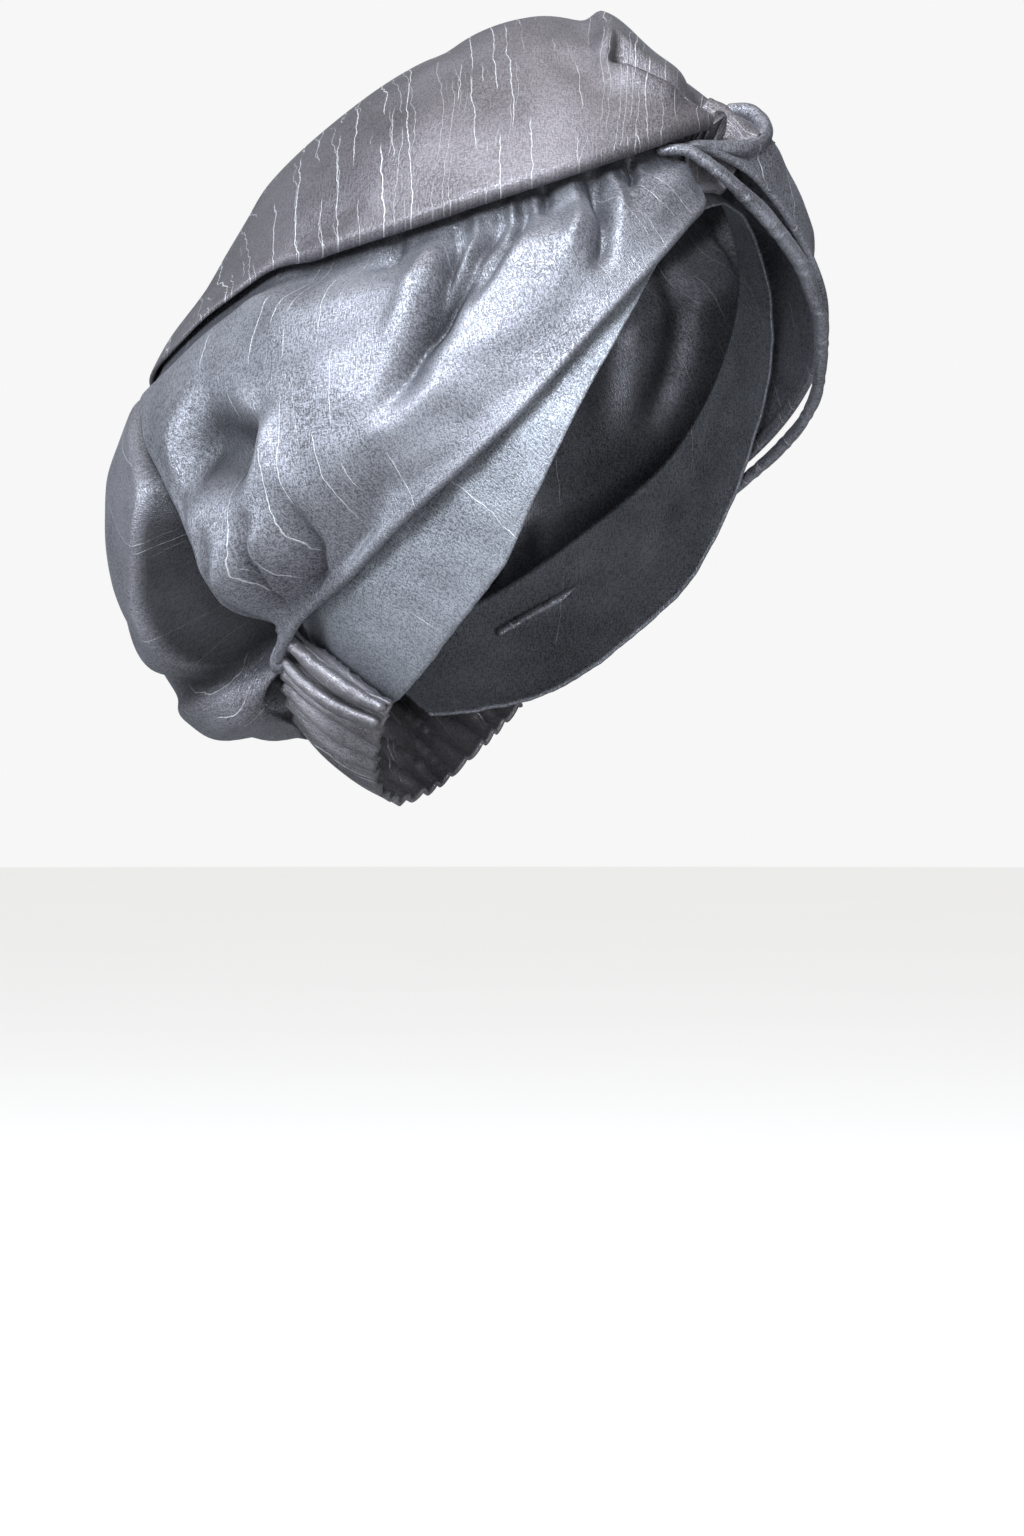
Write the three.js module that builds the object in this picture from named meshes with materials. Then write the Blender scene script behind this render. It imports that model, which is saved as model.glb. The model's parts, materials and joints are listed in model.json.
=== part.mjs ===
// A turban headwrap in the form that it has on a head: soft cloth walls round an open hollow.
// Millimetres and degrees. The head faces -Y, its crown is up (+Z), the wearer's right is -X.
// The origin is the middle of the head that the turban is wrapped round.

import * as THREE from 'three';

// Driving dimensions

const HEAD_FRONT = 90; // half the head's length
const HEAD_SIDE = 76; // half the head's breadth
const HEAD_TOP = 103; // middle of the head to its crown
const HEAD_TILT = 18; // how far the head tips back
const WALL = 1.6; // cloth wall
const CLEAR = 1.6; // air between one cloth layer and the next
const ARC = 1.95; // length along the cloth of one degree round the head
const CALM = 20; // no fold comes nearer than this to the top of the crown, in degrees
const SINK_FROM = 0.6; // share of the way down the drape from which its edge sinks
const DRAPE_FLAP = 3; // cloth turned back inside the drape's rolled edge
const WRAP_ROLL = 2.1; // radius of a side wrap's folded lower edge
const WRAP_FLAP = 2; // cloth turned back inside a side wrap's lower edge
const WRAP_SWELL = 26; // how far from the casing the wrap is drawn in
const POUCH_SWELL = 30; // how far from the casing the pouch is drawn in
const ROLL_REACH = 4; // how far below the drape's edge its roll still covers the cloth
const ROLL_CLEAR = 0.5; // air between the drape's roll and the cloth under it, besides CLEAR
const WRAP_PUFF = 24; // length over which a wrap swells from under the roll
const POUCH_PUFF = 20; // length over which the pouch swells from under the roll
const BAND_LIFT = 3; // lift of the hairline band off the head

// Colours of the finished cloth and of its shaded underside

const SILVER_GREY = { color: 0x8f8e99, roughness: 0.45, metalness: 0 };
const MAUVE_GREY = { color: 0x857b80, roughness: 0.5, metalness: 0 };

// Places are given by azimuth (az: 0 in front, positive to the wearer's right, 180 behind) and
// elevation (el: about the head's own upright axis), and by the cloth's lift off the head.

const TILT = rad(HEAD_TILT);
const FORWARD = new THREE.Vector3(0, -Math.cos(TILT), Math.sin(TILT));
const UPWARD = new THREE.Vector3(0, Math.sin(TILT), Math.cos(TILT));
const RIGHTWARD = new THREE.Vector3(-1, 0, 0);

// Lift of the outermost cloth: a row for each elevation, a column for each side of the head,
// 30 degrees apart from the face to the back. The left side is the same as the right.
const SIDES = ['face', 'brow', 'temple', 'ear', 'behindEar', 'rearSide', 'back'];
const SIDE_STEP = 30;
const COVER = [
  { el: -45, face: 5, brow: 5, temple: 6, ear: 7, behindEar: 10, rearSide: 20, back: 30 },
  { el: -30, face: 5, brow: 5, temple: 6, ear: 8, behindEar: 14, rearSide: 34, back: 45 },
  { el: -15, face: 5, brow: 5, temple: 7, ear: 9, behindEar: 21, rearSide: 54, back: 66 },
  { el: 0, face: 5, brow: 6, temple: 9, ear: 14, behindEar: 28, rearSide: 56, back: 68 },
  { el: 15, face: 8.5, brow: 9, temple: 12, ear: 17, behindEar: 30, rearSide: 52, back: 63 },
  { el: 30, face: 19.5, brow: 15, temple: 15, ear: 18, behindEar: 27, rearSide: 42, back: 51 },
  { el: 45, face: 30, brow: 22, temple: 18, ear: 18, behindEar: 23, rearSide: 32, back: 40 },
  { el: 60, face: 33.5, brow: 29, temple: 24, ear: 24, behindEar: 27, rearSide: 31, back: 36 },
  { el: 75, face: 40, brow: 36, temple: 30, ear: 29, behindEar: 29, rearSide: 30, back: 31 },
  { el: 90, face: 34, brow: 34, temple: 34, ear: 34, behindEar: 34, rearSide: 34, back: 34 },
];

// Gathered casing at the nape, from its right end to the middle of the back: the seam where the
// pouch is gathered into it, and its free edge
const CASING = [
  { at: 0, seamAz: 151, seamEl: -17, seamLift: 16, freeAz: 140, freeEl: -40, freeLift: 9 },
  { at: 0.35, seamAz: 157.5, seamEl: -22, seamLift: 24, freeAz: 151, freeEl: -42, freeLift: 17 },
  { at: 0.7, seamAz: 167, seamEl: -27, seamLift: 29, freeAz: 165, freeEl: -44, freeLift: 26 },
  { at: 1, seamAz: 180, seamEl: -28, seamLift: 33, freeAz: 180, freeEl: -45, freeLift: 29 },
];
const RIDGES = 14; // gathers along the casing
const RIDGE = 1.5; // height of a gather
const RIDGE_END = 0.15; // share of the casing's width over which a gather dies down

// Where the pouch lies, in degrees: its side edges under the wraps, its top edge under the drape,
// the gap above the casing's seam, how much lower it hangs for each degree beyond the seam's end,
// and the slit and the rise behind each wrap's edge
const POUCH = { sideAz: 136, topEl: 34, seamGap: 1.3, hang: 0.3, slit: 1, rise: 10 };

// The cloth that shows inside the loop, under the end of the drape's roll
const LOOP_TUCK = { leftAz: -3, rightAz: 17, topEl: 47, lowEl: 34.5, lift: 8 };

// Lower edge of the crown drape, all the way round. roll is the radius of its rolled edge, and
// sink how far it dips under what lies over it.
const DRAPE_EDGE = [
  { az: -180, el: 27, roll: 2.2, sink: 0 },
  { az: -150, el: 30, roll: 2.2, sink: 0 },
  { az: -118, el: 44, roll: 2.7, sink: 0 },
  { az: -60, el: 43, roll: 3, sink: 0 },
  { az: -25, el: 43, roll: 3, sink: 0 },
  { az: -12, el: 44.5, roll: 2.6, sink: 2 },
  { az: -4, el: 44, roll: 2.3, sink: 10 },
  { az: 4, el: 42.6, roll: 2.4, sink: 9 },
  { az: 13, el: 42, roll: 3, sink: 0 },
  { az: 40, el: 42, roll: 3, sink: 0 },
  { az: 75, el: 43.8, roll: 3, sink: 0 },
  { az: 118, el: 44, roll: 2.7, sink: 0 },
  { az: 135, el: 37.5, roll: 2.3, sink: 0 },
  { az: 150, el: 30.5, roll: 2.2, sink: 0 },
  { az: 180, el: 27, roll: 2.2, sink: 0 },
];

// Outlines of the two side wraps, from the front to the deep fold behind: the top edge under the
// drape, the lower edge, and how far the line between them bows forwards. hug is the lower
// edge's lift, and hem how far above it the cloth is drawn towards the head.
const RIGHT_WRAP = [
  { at: 0, topAz: 29, topEl: 46, lowAz: 20.5, lowEl: 33, bow: 0, hug: 10, hem: 14 },
  { at: 0.08, topAz: 34, topEl: 47, lowAz: 24, lowEl: 28, bow: 0, hug: 8.5, hem: 24 },
  { at: 0.25, topAz: 52, topEl: 47, lowAz: 47, lowEl: 16.5, bow: 0, hug: 8.5, hem: 32 },
  { at: 0.5, topAz: 80, topEl: 48, lowAz: 81, lowEl: -3, bow: 0, hug: 8.5, hem: 32 },
  { at: 0.75, topAz: 110, topEl: 48, lowAz: 122, lowEl: -15.5, bow: 0, hug: 9, hem: 30 },
  { at: 0.9, topAz: 132, topEl: 43, lowAz: 145, lowEl: -15, bow: 6, hug: 13, hem: 20 },
  { at: 1, topAz: 157, topEl: 33, lowAz: 156, lowEl: -18, bow: 16, hug: 25, hem: 14 },
];
const LEFT_WRAP = [
  { at: 0, topAz: 16.5, topEl: 37.5, lowAz: 16.5, lowEl: 36, bow: 0, hug: 16, hem: 6 },
  { at: 0.06, topAz: 11, topEl: 35.5, lowAz: 11, lowEl: 33, bow: 0, hug: 14.5, hem: 6 },
  { at: 0.11, topAz: 3, topEl: 36, lowAz: 3.5, lowEl: 29, bow: 0, hug: 12.5, hem: 11 },
  { at: 0.15, topAz: -3, topEl: 38.5, lowAz: -2, lowEl: 25, bow: 0, hug: 11, hem: 20 },
  { at: 0.2, topAz: -9, topEl: 40, lowAz: -9, lowEl: 21, bow: 0, hug: 9.5, hem: 26 },
  { at: 0.27, topAz: -20, topEl: 46, lowAz: -20, lowEl: 13.5, bow: 0, hug: 8, hem: 32 },
  { at: 0.5, topAz: -60, topEl: 48, lowAz: -62, lowEl: -3, bow: 0, hug: 8.5, hem: 32 },
  { at: 0.75, topAz: -110, topEl: 48, lowAz: -122, lowEl: -15.5, bow: 0, hug: 9, hem: 30 },
  { at: 0.9, topAz: -132, topEl: 43, lowAz: -145, lowEl: -15, bow: -6, hug: 13, hem: 20 },
  { at: 1, topAz: -157, topEl: 33, lowAz: -156, lowEl: -18, bow: -16, hug: 25, hem: 14 },
];

// Flat band at the hairline, the same on both sides: its rim, and its upper edge under the wraps
const BAND = [
  { az: 0, rimEl: 36, topEl: 44 },
  { az: 20, rimEl: 32, topEl: 40 },
  { az: 31, rimEl: 26, topEl: 36 },
  { az: 55, rimEl: 4, topEl: 22 },
  { az: 76, rimEl: -18, topEl: 8 },
  { az: 90, rimEl: -30, topEl: 0 },
  { az: 117, rimEl: -39, topEl: -9 },
  { az: 137, rimEl: -41, topEl: -14 },
  { az: 150, rimEl: -40, topEl: -15 },
  { az: 168, rimEl: -38, topEl: -17 },
];

// Rolled edges: the thin roll that shows below the left wrap, and the loop that the left wrap
// makes round the end of the drape's roll
const LEFT_ROLL_RADIUS = 2.2;
const LEFT_ROLL = [
  { az: 22, el: 39.5, lift: 12 },
  { az: 17.2, el: 33.6, lift: 12.5 },
  { az: 11.5, el: 30, lift: 12.5 },
  { az: 4.5, el: 26, lift: 10.5 },
  { az: -2, el: 21.6, lift: 9 },
  { az: -9, el: 17.4, lift: 7.4 },
  { az: -20, el: 9.6, lift: 5 },
  { az: -40, el: -2, lift: 4.5 },
  { az: -62, el: -7, lift: 7 },
  { az: -90, el: -14, lift: 7 },
  { az: -116, el: -19, lift: 7 },
  { az: -138, el: -23, lift: 8 },
];
const LOOP_RADIUS = 2.5;
const LOOP = [
  { az: 17.5, el: 40.5, lift: 14 },
  { az: 14, el: 38.5, lift: 17.5 },
  { az: 9, el: 37.3, lift: 20 },
  { az: 3.5, el: 37.8, lift: 23 },
  { az: -1, el: 39.5, lift: 26 },
  { az: -3, el: 42, lift: 28 },
  { az: -1, el: 44.2, lift: 28 },
  { az: 2.5, el: 45, lift: 27 },
];

// Soft folds, each a ridge (rise above 0) or a valley along an arc from one place to another
const DRAPE_FOLDS = [
  { az: 2, el: 64, toAz: 30, toEl: 52, width: 7, rise: 5 },
  { az: 15, el: 60, toAz: 17, toEl: 47, width: 5, rise: -5 },
  { az: 60, el: 60, toAz: 140, toEl: 50, width: 16, rise: 1.5 },
];
const WRAP_FOLDS = [
  { az: 76, el: 44, toAz: 108, toEl: 0, width: 6, rise: -3.5 },
  { az: 70, el: 34, toAz: 98, toEl: 2, width: 6, rise: 2 },
  { az: 60, el: 43, toAz: 72, toEl: 29, width: 4, rise: -2 },
  { az: 42, el: 43, toAz: 48, toEl: 26, width: 4, rise: -2.5 },
  { az: 128, el: 20, toAz: 131, toEl: 3, width: 10, rise: -6 },
  { az: 122, el: 14, toAz: 138, toEl: -14, width: 4, rise: 3 },
  { az: 128, el: 0, toAz: 143, toEl: -16, width: 3.5, rise: -2.5 },
];
const POUCH_FOLDS = [
  { az: 148, el: -22, toAz: 180, toEl: -9, width: 6, rise: -9 },
  { az: -148, el: -22, toAz: -180, toEl: -9, width: 6, rise: -9 },
  { az: 158, el: 20, toAz: 160, toEl: -8, width: 9, rise: 2 },
];

function rad(degrees) {
  return (degrees * Math.PI) / 180;
}

function clamp(x, low, high) {
  return Math.min(Math.max(x, low), high);
}

function mix(a, b, t) {
  return a + (b - a) * t;
}

function smooth(x) {
  const t = clamp(x, 0, 1);
  return t * t * (3 - 2 * t);
}

// A named column's value where the key column is x, by a cubic through the rows
function along(rows, key, name, x) {
  const last = rows.length - 1;
  let i = 0;
  while (i < last - 1 && x > rows[i + 1][key]) i += 1;
  const [a, b] = [rows[i], rows[i + 1]];
  const step = b[key] - a[key];
  const t = clamp((x - a[key]) / step, 0, 1);
  const slope = (j, k) => (rows[k][name] - rows[j][name]) / (rows[k][key] - rows[j][key]);
  const start = slope(Math.max(i - 1, 0), i + 1) * step;
  const end = slope(i, Math.min(i + 2, last)) * step;
  const rise = b[name] - a[name];
  const bend = 3 * rise - 2 * start - end;
  const twist = start + end - 2 * rise;
  return a[name] + t * (start + t * (bend + t * twist));
}

function headRadius(az, el) {
  const level = Math.cos(rad(el));
  const front = (level * Math.cos(rad(az))) / HEAD_FRONT;
  const side = (level * Math.sin(rad(az))) / HEAD_SIDE;
  const top = Math.sin(rad(el)) / HEAD_TOP;
  return 1 / Math.hypot(front, side, top);
}

function place(az, el, lift) {
  const reach = headRadius(az, el) + lift;
  const level = reach * Math.cos(rad(el));
  return new THREE.Vector3()
    .addScaledVector(FORWARD, level * Math.cos(rad(az)))
    .addScaledVector(RIGHTWARD, level * Math.sin(rad(az)))
    .addScaledVector(UPWARD, reach * Math.sin(rad(el)));
}

// Lift of the outermost cloth at a place
function cover(az, el) {
  const turn = Math.abs(((az + 540) % 360) - 180);
  const sides = SIDES.map((side, i) => ({ turn: i * SIDE_STEP, lift: along(COVER, 'el', side, el) }));
  return along(sides, 'turn', 'lift', turn);
}

// Rise of the folds of a list at a place: full along each fold's length, none at its ends
function foldRise(folds, az, el) {
  return folds.reduce((sum, fold) => {
    const level = Math.cos(rad((fold.el + fold.toEl) / 2));
    const run = [(fold.toAz - fold.az) * level * ARC, (fold.toEl - fold.el) * ARC];
    const off = [(az - fold.az) * level * ARC, (el - fold.el) * ARC];
    const length = Math.hypot(...run);
    const s = (off[0] * run[0] + off[1] * run[1]) / length;
    const across = (off[0] * run[1] - off[1] * run[0]) / length;
    const taper = length / 3;
    const full = smooth(1 + s / taper) * smooth(1 + (length - s) / taper);
    return sum + fold.rise * full * Math.exp(-((across / fold.width) ** 2));
  }, 0);
}

// How far the cloth is from the casing that gathers it, in millimetres along the cloth
function fromCasing(az, el) {
  const turn = Math.abs(az);
  const end = CASING[0];
  if (turn >= end.seamAz) return Math.max(0, (el - along(CASING, 'seamAz', 'seamEl', turn)) * ARC);
  const level = Math.cos(rad(end.seamEl));
  return Math.hypot((turn - end.seamAz) * level, Math.max(0, el - end.seamEl)) * ARC;
}

// Lift of cloth that is gathered into the casing: it swells out of the seam in a quarter round
function gathered(az, el, swell) {
  const seam = along(CASING, 'seamAz', 'seamLift', clamp(Math.abs(az), CASING[0].seamAz, 180));
  const t = clamp(fromCasing(az, el) / swell, 0, 1);
  return mix(seam, cover(az, el), Math.sin((t * Math.PI) / 2));
}

// A closed wall from a grid of points on its outer face. Columns run towards the wearer's right
// and rows downwards. ring joins the last column to the first, and pole makes the first row one
// point.
function clothWall(name, finish, grid, { wall = WALL, ring = false, pole = false } = {}) {
  const columns = grid.length;
  const rows = grid[0].length;
  const wrap = (i) => (ring ? (i + columns) % columns : clamp(i, 0, columns - 1));
  const normal = (i, j) => {
    if (pole && j === 0) return grid[0][0].clone().normalize();
    const across = new THREE.Vector3().subVectors(grid[wrap(i + 1)][j], grid[wrap(i - 1)][j]);
    const down = new THREE.Vector3().subVectors(
      grid[i][Math.min(j + 1, rows - 1)],
      grid[i][Math.max(j - 1, pole ? 1 : 0)],
    );
    return across.cross(down).normalize();
  };
  const points = [];
  const count = pole ? columns * (rows - 1) + 1 : columns * rows;
  const number = (i, j, face) => {
    const row = pole && j === 0 ? 0 : wrap(i) * (rows - (pole ? 1 : 0)) + j;
    return face * count + row;
  };
  for (let i = 0; i < columns; i += 1) {
    for (let j = 0; j < rows; j += 1) {
      const outer = grid[i][j];
      points[number(i, j, 0)] = outer;
      points[number(i, j, 1)] = outer.clone().addScaledVector(normal(i, j), -wall);
    }
  }
  const index = [];
  const triangle = (a, b, c) => {
    if (a !== b && b !== c && c !== a) index.push(a, b, c);
  };
  const quad = (a, b, c, d) => {
    triangle(a, b, c);
    triangle(a, c, d);
  };
  const spans = ring ? columns : columns - 1;
  for (let i = 0; i < spans; i += 1) {
    for (let j = 0; j < rows - 1; j += 1) {
      quad(number(i, j, 0), number(i + 1, j, 0), number(i + 1, j + 1, 0), number(i, j + 1, 0));
      quad(number(i, j, 1), number(i, j + 1, 1), number(i + 1, j + 1, 1), number(i + 1, j, 1));
    }
    const low = rows - 1;
    quad(number(i, low, 0), number(i + 1, low, 0), number(i + 1, low, 1), number(i, low, 1));
    if (!pole) quad(number(i, 0, 1), number(i + 1, 0, 1), number(i + 1, 0, 0), number(i, 0, 0));
  }
  for (let j = 0; !ring && j < rows - 1; j += 1) {
    const last = columns - 1;
    quad(number(0, j, 0), number(0, j + 1, 0), number(0, j + 1, 1), number(0, j, 1));
    quad(number(last, j, 1), number(last, j + 1, 1), number(last, j + 1, 0), number(last, j, 0));
  }
  const geometry = new THREE.BufferGeometry().setFromPoints(points);
  geometry.setIndex(index);
  return meshOf(name, finish, geometry);
}

function meshOf(name, finish, geometry) {
  const mesh = new THREE.Mesh(geometry, new THREE.MeshStandardMaterial(finish));
  mesh.name = name;
  return mesh;
}

// A column's points down the cloth, then round a rolled edge of this radius in so many flats,
// and back up inside for a short flap
function withRolledEdge(column, radius, flats, flap) {
  const last = column[column.length - 1];
  const down = new THREE.Vector3().subVectors(last, column[column.length - 2]).normalize();
  const out = last.clone().normalize();
  out.addScaledVector(down, -out.dot(down)).normalize();
  const centre = last.clone().addScaledVector(out, -radius);
  const roll = [];
  for (let k = 1; k <= flats; k += 1) {
    const turn = (k / flats) * Math.PI;
    roll.push(
      centre
        .clone()
        .addScaledVector(out, radius * Math.cos(turn))
        .addScaledVector(down, radius * Math.sin(turn)),
    );
  }
  roll.push(roll[flats - 1].clone().addScaledVector(down, -flap));
  return [...column, ...roll];
}

// Values at evenly spaced shares from 0 to 1
function range(count, value) {
  return Array.from({ length: count + 1 }, (_, i) => value(i / count));
}

// The crown drape, over the top of the head from one side to the other
function topDrape() {
  const COLUMNS = 46;
  const ROWS = 9;
  const FLATS = 4;
  const grid = range(COLUMNS, (s) => {
    const az = mix(-180, 180, s);
    const edge = along(DRAPE_EDGE, 'az', 'el', az);
    const sink = along(DRAPE_EDGE, 'az', 'sink', az);
    const column = range(ROWS, (t) => {
      const el = mix(90, edge, t);
      const lift = cover(az, el) + foldRise(DRAPE_FOLDS, az, el) * smooth((90 - el) / CALM);
      return place(az, el, lift - sink * smooth((t - SINK_FROM) / (1 - SINK_FROM)));
    });
    return withRolledEdge(column, along(DRAPE_EDGE, 'az', 'roll', az), FLATS, DRAPE_FLAP);
  }).slice(0, COLUMNS);
  return clothWall('top_drape', SILVER_GREY, grid, { ring: true, pole: true });
}

// How far cloth under the drape's rolled edge lies below the outermost cloth
function tuckedUnder(az, el, puff) {
  const below = (along(DRAPE_EDGE, 'az', 'el', az) - el) * ARC;
  const depth = 2 * along(DRAPE_EDGE, 'az', 'roll', az) + CLEAR + ROLL_CLEAR;
  return depth * (1 - smooth((below - ROLL_REACH) / puff));
}

// Lift of a side wrap: under the drape's roll at the top, swelling below it, drawn in towards
// the casing, and down to hug at its lower edge
function wrapLift(az, el, hug, fromEdge, hem) {
  const folds = foldRise(WRAP_FOLDS, Math.abs(az), el);
  const full = gathered(az, el, WRAP_SWELL) - tuckedUnder(az, el, WRAP_PUFF) + folds;
  return mix(hug, full, smooth(fromEdge / hem));
}

function sideWrap(name, outline, columns, facing) {
  const ROWS = 11;
  const FLATS = 3;
  const grid = range(columns, (s) => {
    const at = (column) => along(outline, 'at', column, s);
    const length = Math.hypot(at('topEl') - at('lowEl'), at('topAz') - at('lowAz')) * ARC;
    const column = range(ROWS, (t) => {
      const az = mix(at('topAz'), at('lowAz'), t) - at('bow') * Math.sin(Math.PI * t);
      const el = mix(at('topEl'), at('lowEl'), t);
      return place(az, el, wrapLift(az, el, at('hug'), (1 - t) * length, at('hem')));
    });
    return withRolledEdge(column, WRAP_ROLL, FLATS, WRAP_FLAP);
  });
  return clothWall(name, SILVER_GREY, facing > 0 ? grid : grid.reverse());
}

// The pouch behind, from under the drape down to the casing's seam, in two soft lobes
function backPouch() {
  const COLUMNS = 24;
  const ROWS = 15;
  const behind = RIGHT_WRAP[RIGHT_WRAP.length - 1];
  const grid = range(COLUMNS, (s) => {
    const az = mix(POUCH.sideAz, 360 - POUCH.sideAz, s);
    const turn = 180 - Math.abs(180 - az);
    const signed = az > 180 ? az - 360 : az;
    const seam = along(CASING, 'seamAz', 'seamEl', Math.max(turn, CASING[0].seamAz));
    const low = seam + POUCH.seamGap + POUCH.hang * Math.max(0, CASING[0].seamAz - turn);
    return range(ROWS, (t) => {
      const el = mix(POUCH.topEl, low, t);
      const full = gathered(signed, el, POUCH_SWELL) + foldRise(POUCH_FOLDS, signed, el);
      const open = full - tuckedUnder(signed, el, POUCH_PUFF);
      const wrapLow = (column) => along(RIGHT_WRAP, 'lowAz', column, turn);
      const fromEdge = (el - wrapLow('lowEl')) * ARC;
      const wrap = wrapLift(turn, el, wrapLow('hug'), fromEdge, wrapLow('hem'));
      const under = Math.min(wrap - 2 * WRAP_ROLL - CLEAR, open);
      const down = clamp((behind.topEl - el) / (behind.topEl - behind.lowEl), 0, 1);
      const wrapEnd = mix(behind.topAz, behind.lowAz, down) - behind.bow * Math.sin(Math.PI * down);
      const out = smooth((turn - wrapEnd - POUCH.slit) / POUCH.rise);
      return place(az, el, mix(under, open, out));
    });
  });
  return clothWall('back_pouch', MAUVE_GREY, grid);
}

// The elastic casing round the nape, with gathers across its width
function napeCasing() {
  const POINTS_PER_RIDGE = 4;
  const COLUMNS = RIDGES * POINTS_PER_RIDGE;
  const ROWS = 3;
  const grid = range(COLUMNS, (s) => {
    const half = 1 - Math.abs(2 * s - 1);
    const at = (column) => along(CASING, 'at', column, half);
    const ridge = RIDGE * Math.cos(2 * Math.PI * RIDGES * s);
    return range(ROWS, (t) => {
      const az = mix(at('seamAz'), at('freeAz'), t);
      const el = mix(at('seamEl'), at('freeEl'), t);
      const lift = mix(at('seamLift'), at('freeLift'), t);
      const height = ridge * Math.sin(Math.PI * clamp(t, RIDGE_END, 1 - RIDGE_END));
      return place(s > 0.5 ? 360 - az : az, el, lift + height);
    });
  });
  return clothWall('nape_casing', MAUVE_GREY, grid);
}

// The flat band round the hairline, from one end of the casing to the other
function headBand() {
  const COLUMNS = 36;
  const ROWS = 3;
  const reach = BAND[BAND.length - 1].az;
  const grid = range(COLUMNS, (s) => {
    const az = mix(-reach, reach, s);
    const top = along(BAND, 'az', 'topEl', Math.abs(az));
    const rim = along(BAND, 'az', 'rimEl', Math.abs(az));
    return range(ROWS, (t) => place(az, mix(top, rim, t), BAND_LIFT));
  });
  return clothWall('head_band', SILVER_GREY, grid);
}

// A rolled edge: a round of cloth along a path of places
function rolledCord(name, finish, rows, radius, steps) {
  const path = new THREE.CatmullRomCurve3(rows.map((row) => place(row.az, row.el, row.lift)));
  const section = new THREE.Shape().absarc(0, 0, radius, 0, 2 * Math.PI);
  const geometry = new THREE.ExtrudeGeometry(section, {
    steps,
    curveSegments: 4,
    extrudePath: path,
    bevelEnabled: false,
  });
  return meshOf(name, finish, geometry);
}

function loopTuck() {
  const COLUMNS = 6;
  const ROWS = 4;
  const grid = range(COLUMNS, (s) => {
    const az = mix(LOOP_TUCK.leftAz, LOOP_TUCK.rightAz, s);
    return range(ROWS, (t) => {
      const el = mix(LOOP_TUCK.topEl, LOOP_TUCK.lowEl, t);
      return place(az, el, LOOP_TUCK.lift);
    });
  });
  return clothWall('loop_tuck', MAUVE_GREY, grid);
}

const turban = new THREE.Group();
turban.add(
  topDrape(),
  sideWrap('right_wrap', RIGHT_WRAP, 26, 1),
  sideWrap('left_wrap', LEFT_WRAP, 28, -1),
  backPouch(),
  napeCasing(),
  headBand(),
  rolledCord('left_roll', SILVER_GREY, LEFT_ROLL, LEFT_ROLL_RADIUS, 26),
  rolledCord('twist_loop', SILVER_GREY, LOOP, LOOP_RADIUS, 14),
  loopTuck(),
);

export default turban;
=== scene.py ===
# %% [markdown]
# A turban headwrap of slubbed satin, in the form it keeps after it has been wrapped round a head.
# The measured model is loaded first as a fixed frame. Every piece below is built in metres in
# that same frame, so nothing has to be fitted afterwards.

# %% The fixed frame
import json
import math

import bpy
import numpy as np
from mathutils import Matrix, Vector

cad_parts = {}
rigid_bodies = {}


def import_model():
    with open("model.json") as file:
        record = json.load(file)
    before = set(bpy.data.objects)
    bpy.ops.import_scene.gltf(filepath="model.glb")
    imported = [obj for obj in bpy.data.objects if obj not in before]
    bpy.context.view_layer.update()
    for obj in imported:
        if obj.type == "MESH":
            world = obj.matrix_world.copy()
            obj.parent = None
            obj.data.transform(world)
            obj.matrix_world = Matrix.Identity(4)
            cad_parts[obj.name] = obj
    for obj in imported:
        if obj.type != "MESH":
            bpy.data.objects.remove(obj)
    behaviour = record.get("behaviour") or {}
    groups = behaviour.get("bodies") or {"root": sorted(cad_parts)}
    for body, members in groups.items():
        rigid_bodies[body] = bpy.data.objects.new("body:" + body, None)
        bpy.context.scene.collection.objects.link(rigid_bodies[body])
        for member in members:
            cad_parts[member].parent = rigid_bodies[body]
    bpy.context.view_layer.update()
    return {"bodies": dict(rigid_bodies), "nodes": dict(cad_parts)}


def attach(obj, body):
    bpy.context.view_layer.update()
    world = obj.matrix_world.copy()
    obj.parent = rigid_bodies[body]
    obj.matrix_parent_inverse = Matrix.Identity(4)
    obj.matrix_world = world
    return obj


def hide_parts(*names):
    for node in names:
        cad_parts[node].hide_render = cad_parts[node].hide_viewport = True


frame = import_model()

nodes = sorted(frame["nodes"])
print("measured pieces:", nodes)

# %% [markdown]
# Cloth that is wrapped round a head is easiest to describe from the head outwards. A place is an
# azimuth (0 in front, positive to the wearer's right, 180 behind), an elevation about the head's
# own upright axis, and the cloth's lift off the head. Tables with named columns then say how far
# out each layer lies, and a smooth curve runs through the rows.

# %% Places round the head
MM = 0.001
HEAD_FRONT = 90.0
HEAD_SIDE = 76.0
HEAD_TOP = 103.0
HEAD_TILT = np.radians(18.0)
CLEAR = 1.6
ARC = 1.95
FAR = 1e9
FORWARD = np.array([0.0, -np.cos(HEAD_TILT), np.sin(HEAD_TILT)])
UPWARD = np.array([0.0, np.sin(HEAD_TILT), np.cos(HEAD_TILT)])
RIGHTWARD = np.array([-1.0, 0.0, 0.0])


def table(names, *rows):
    """A table with named columns: the rows are as they would be written on paper."""
    return dict(zip(names.split(), np.array(rows, float).T))


def mix(a, b, t):
    return a + (b - a) * t


def smooth(x):
    t = np.clip(x, 0.0, 1.0)
    return t * t * (3.0 - 2.0 * t)


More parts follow.
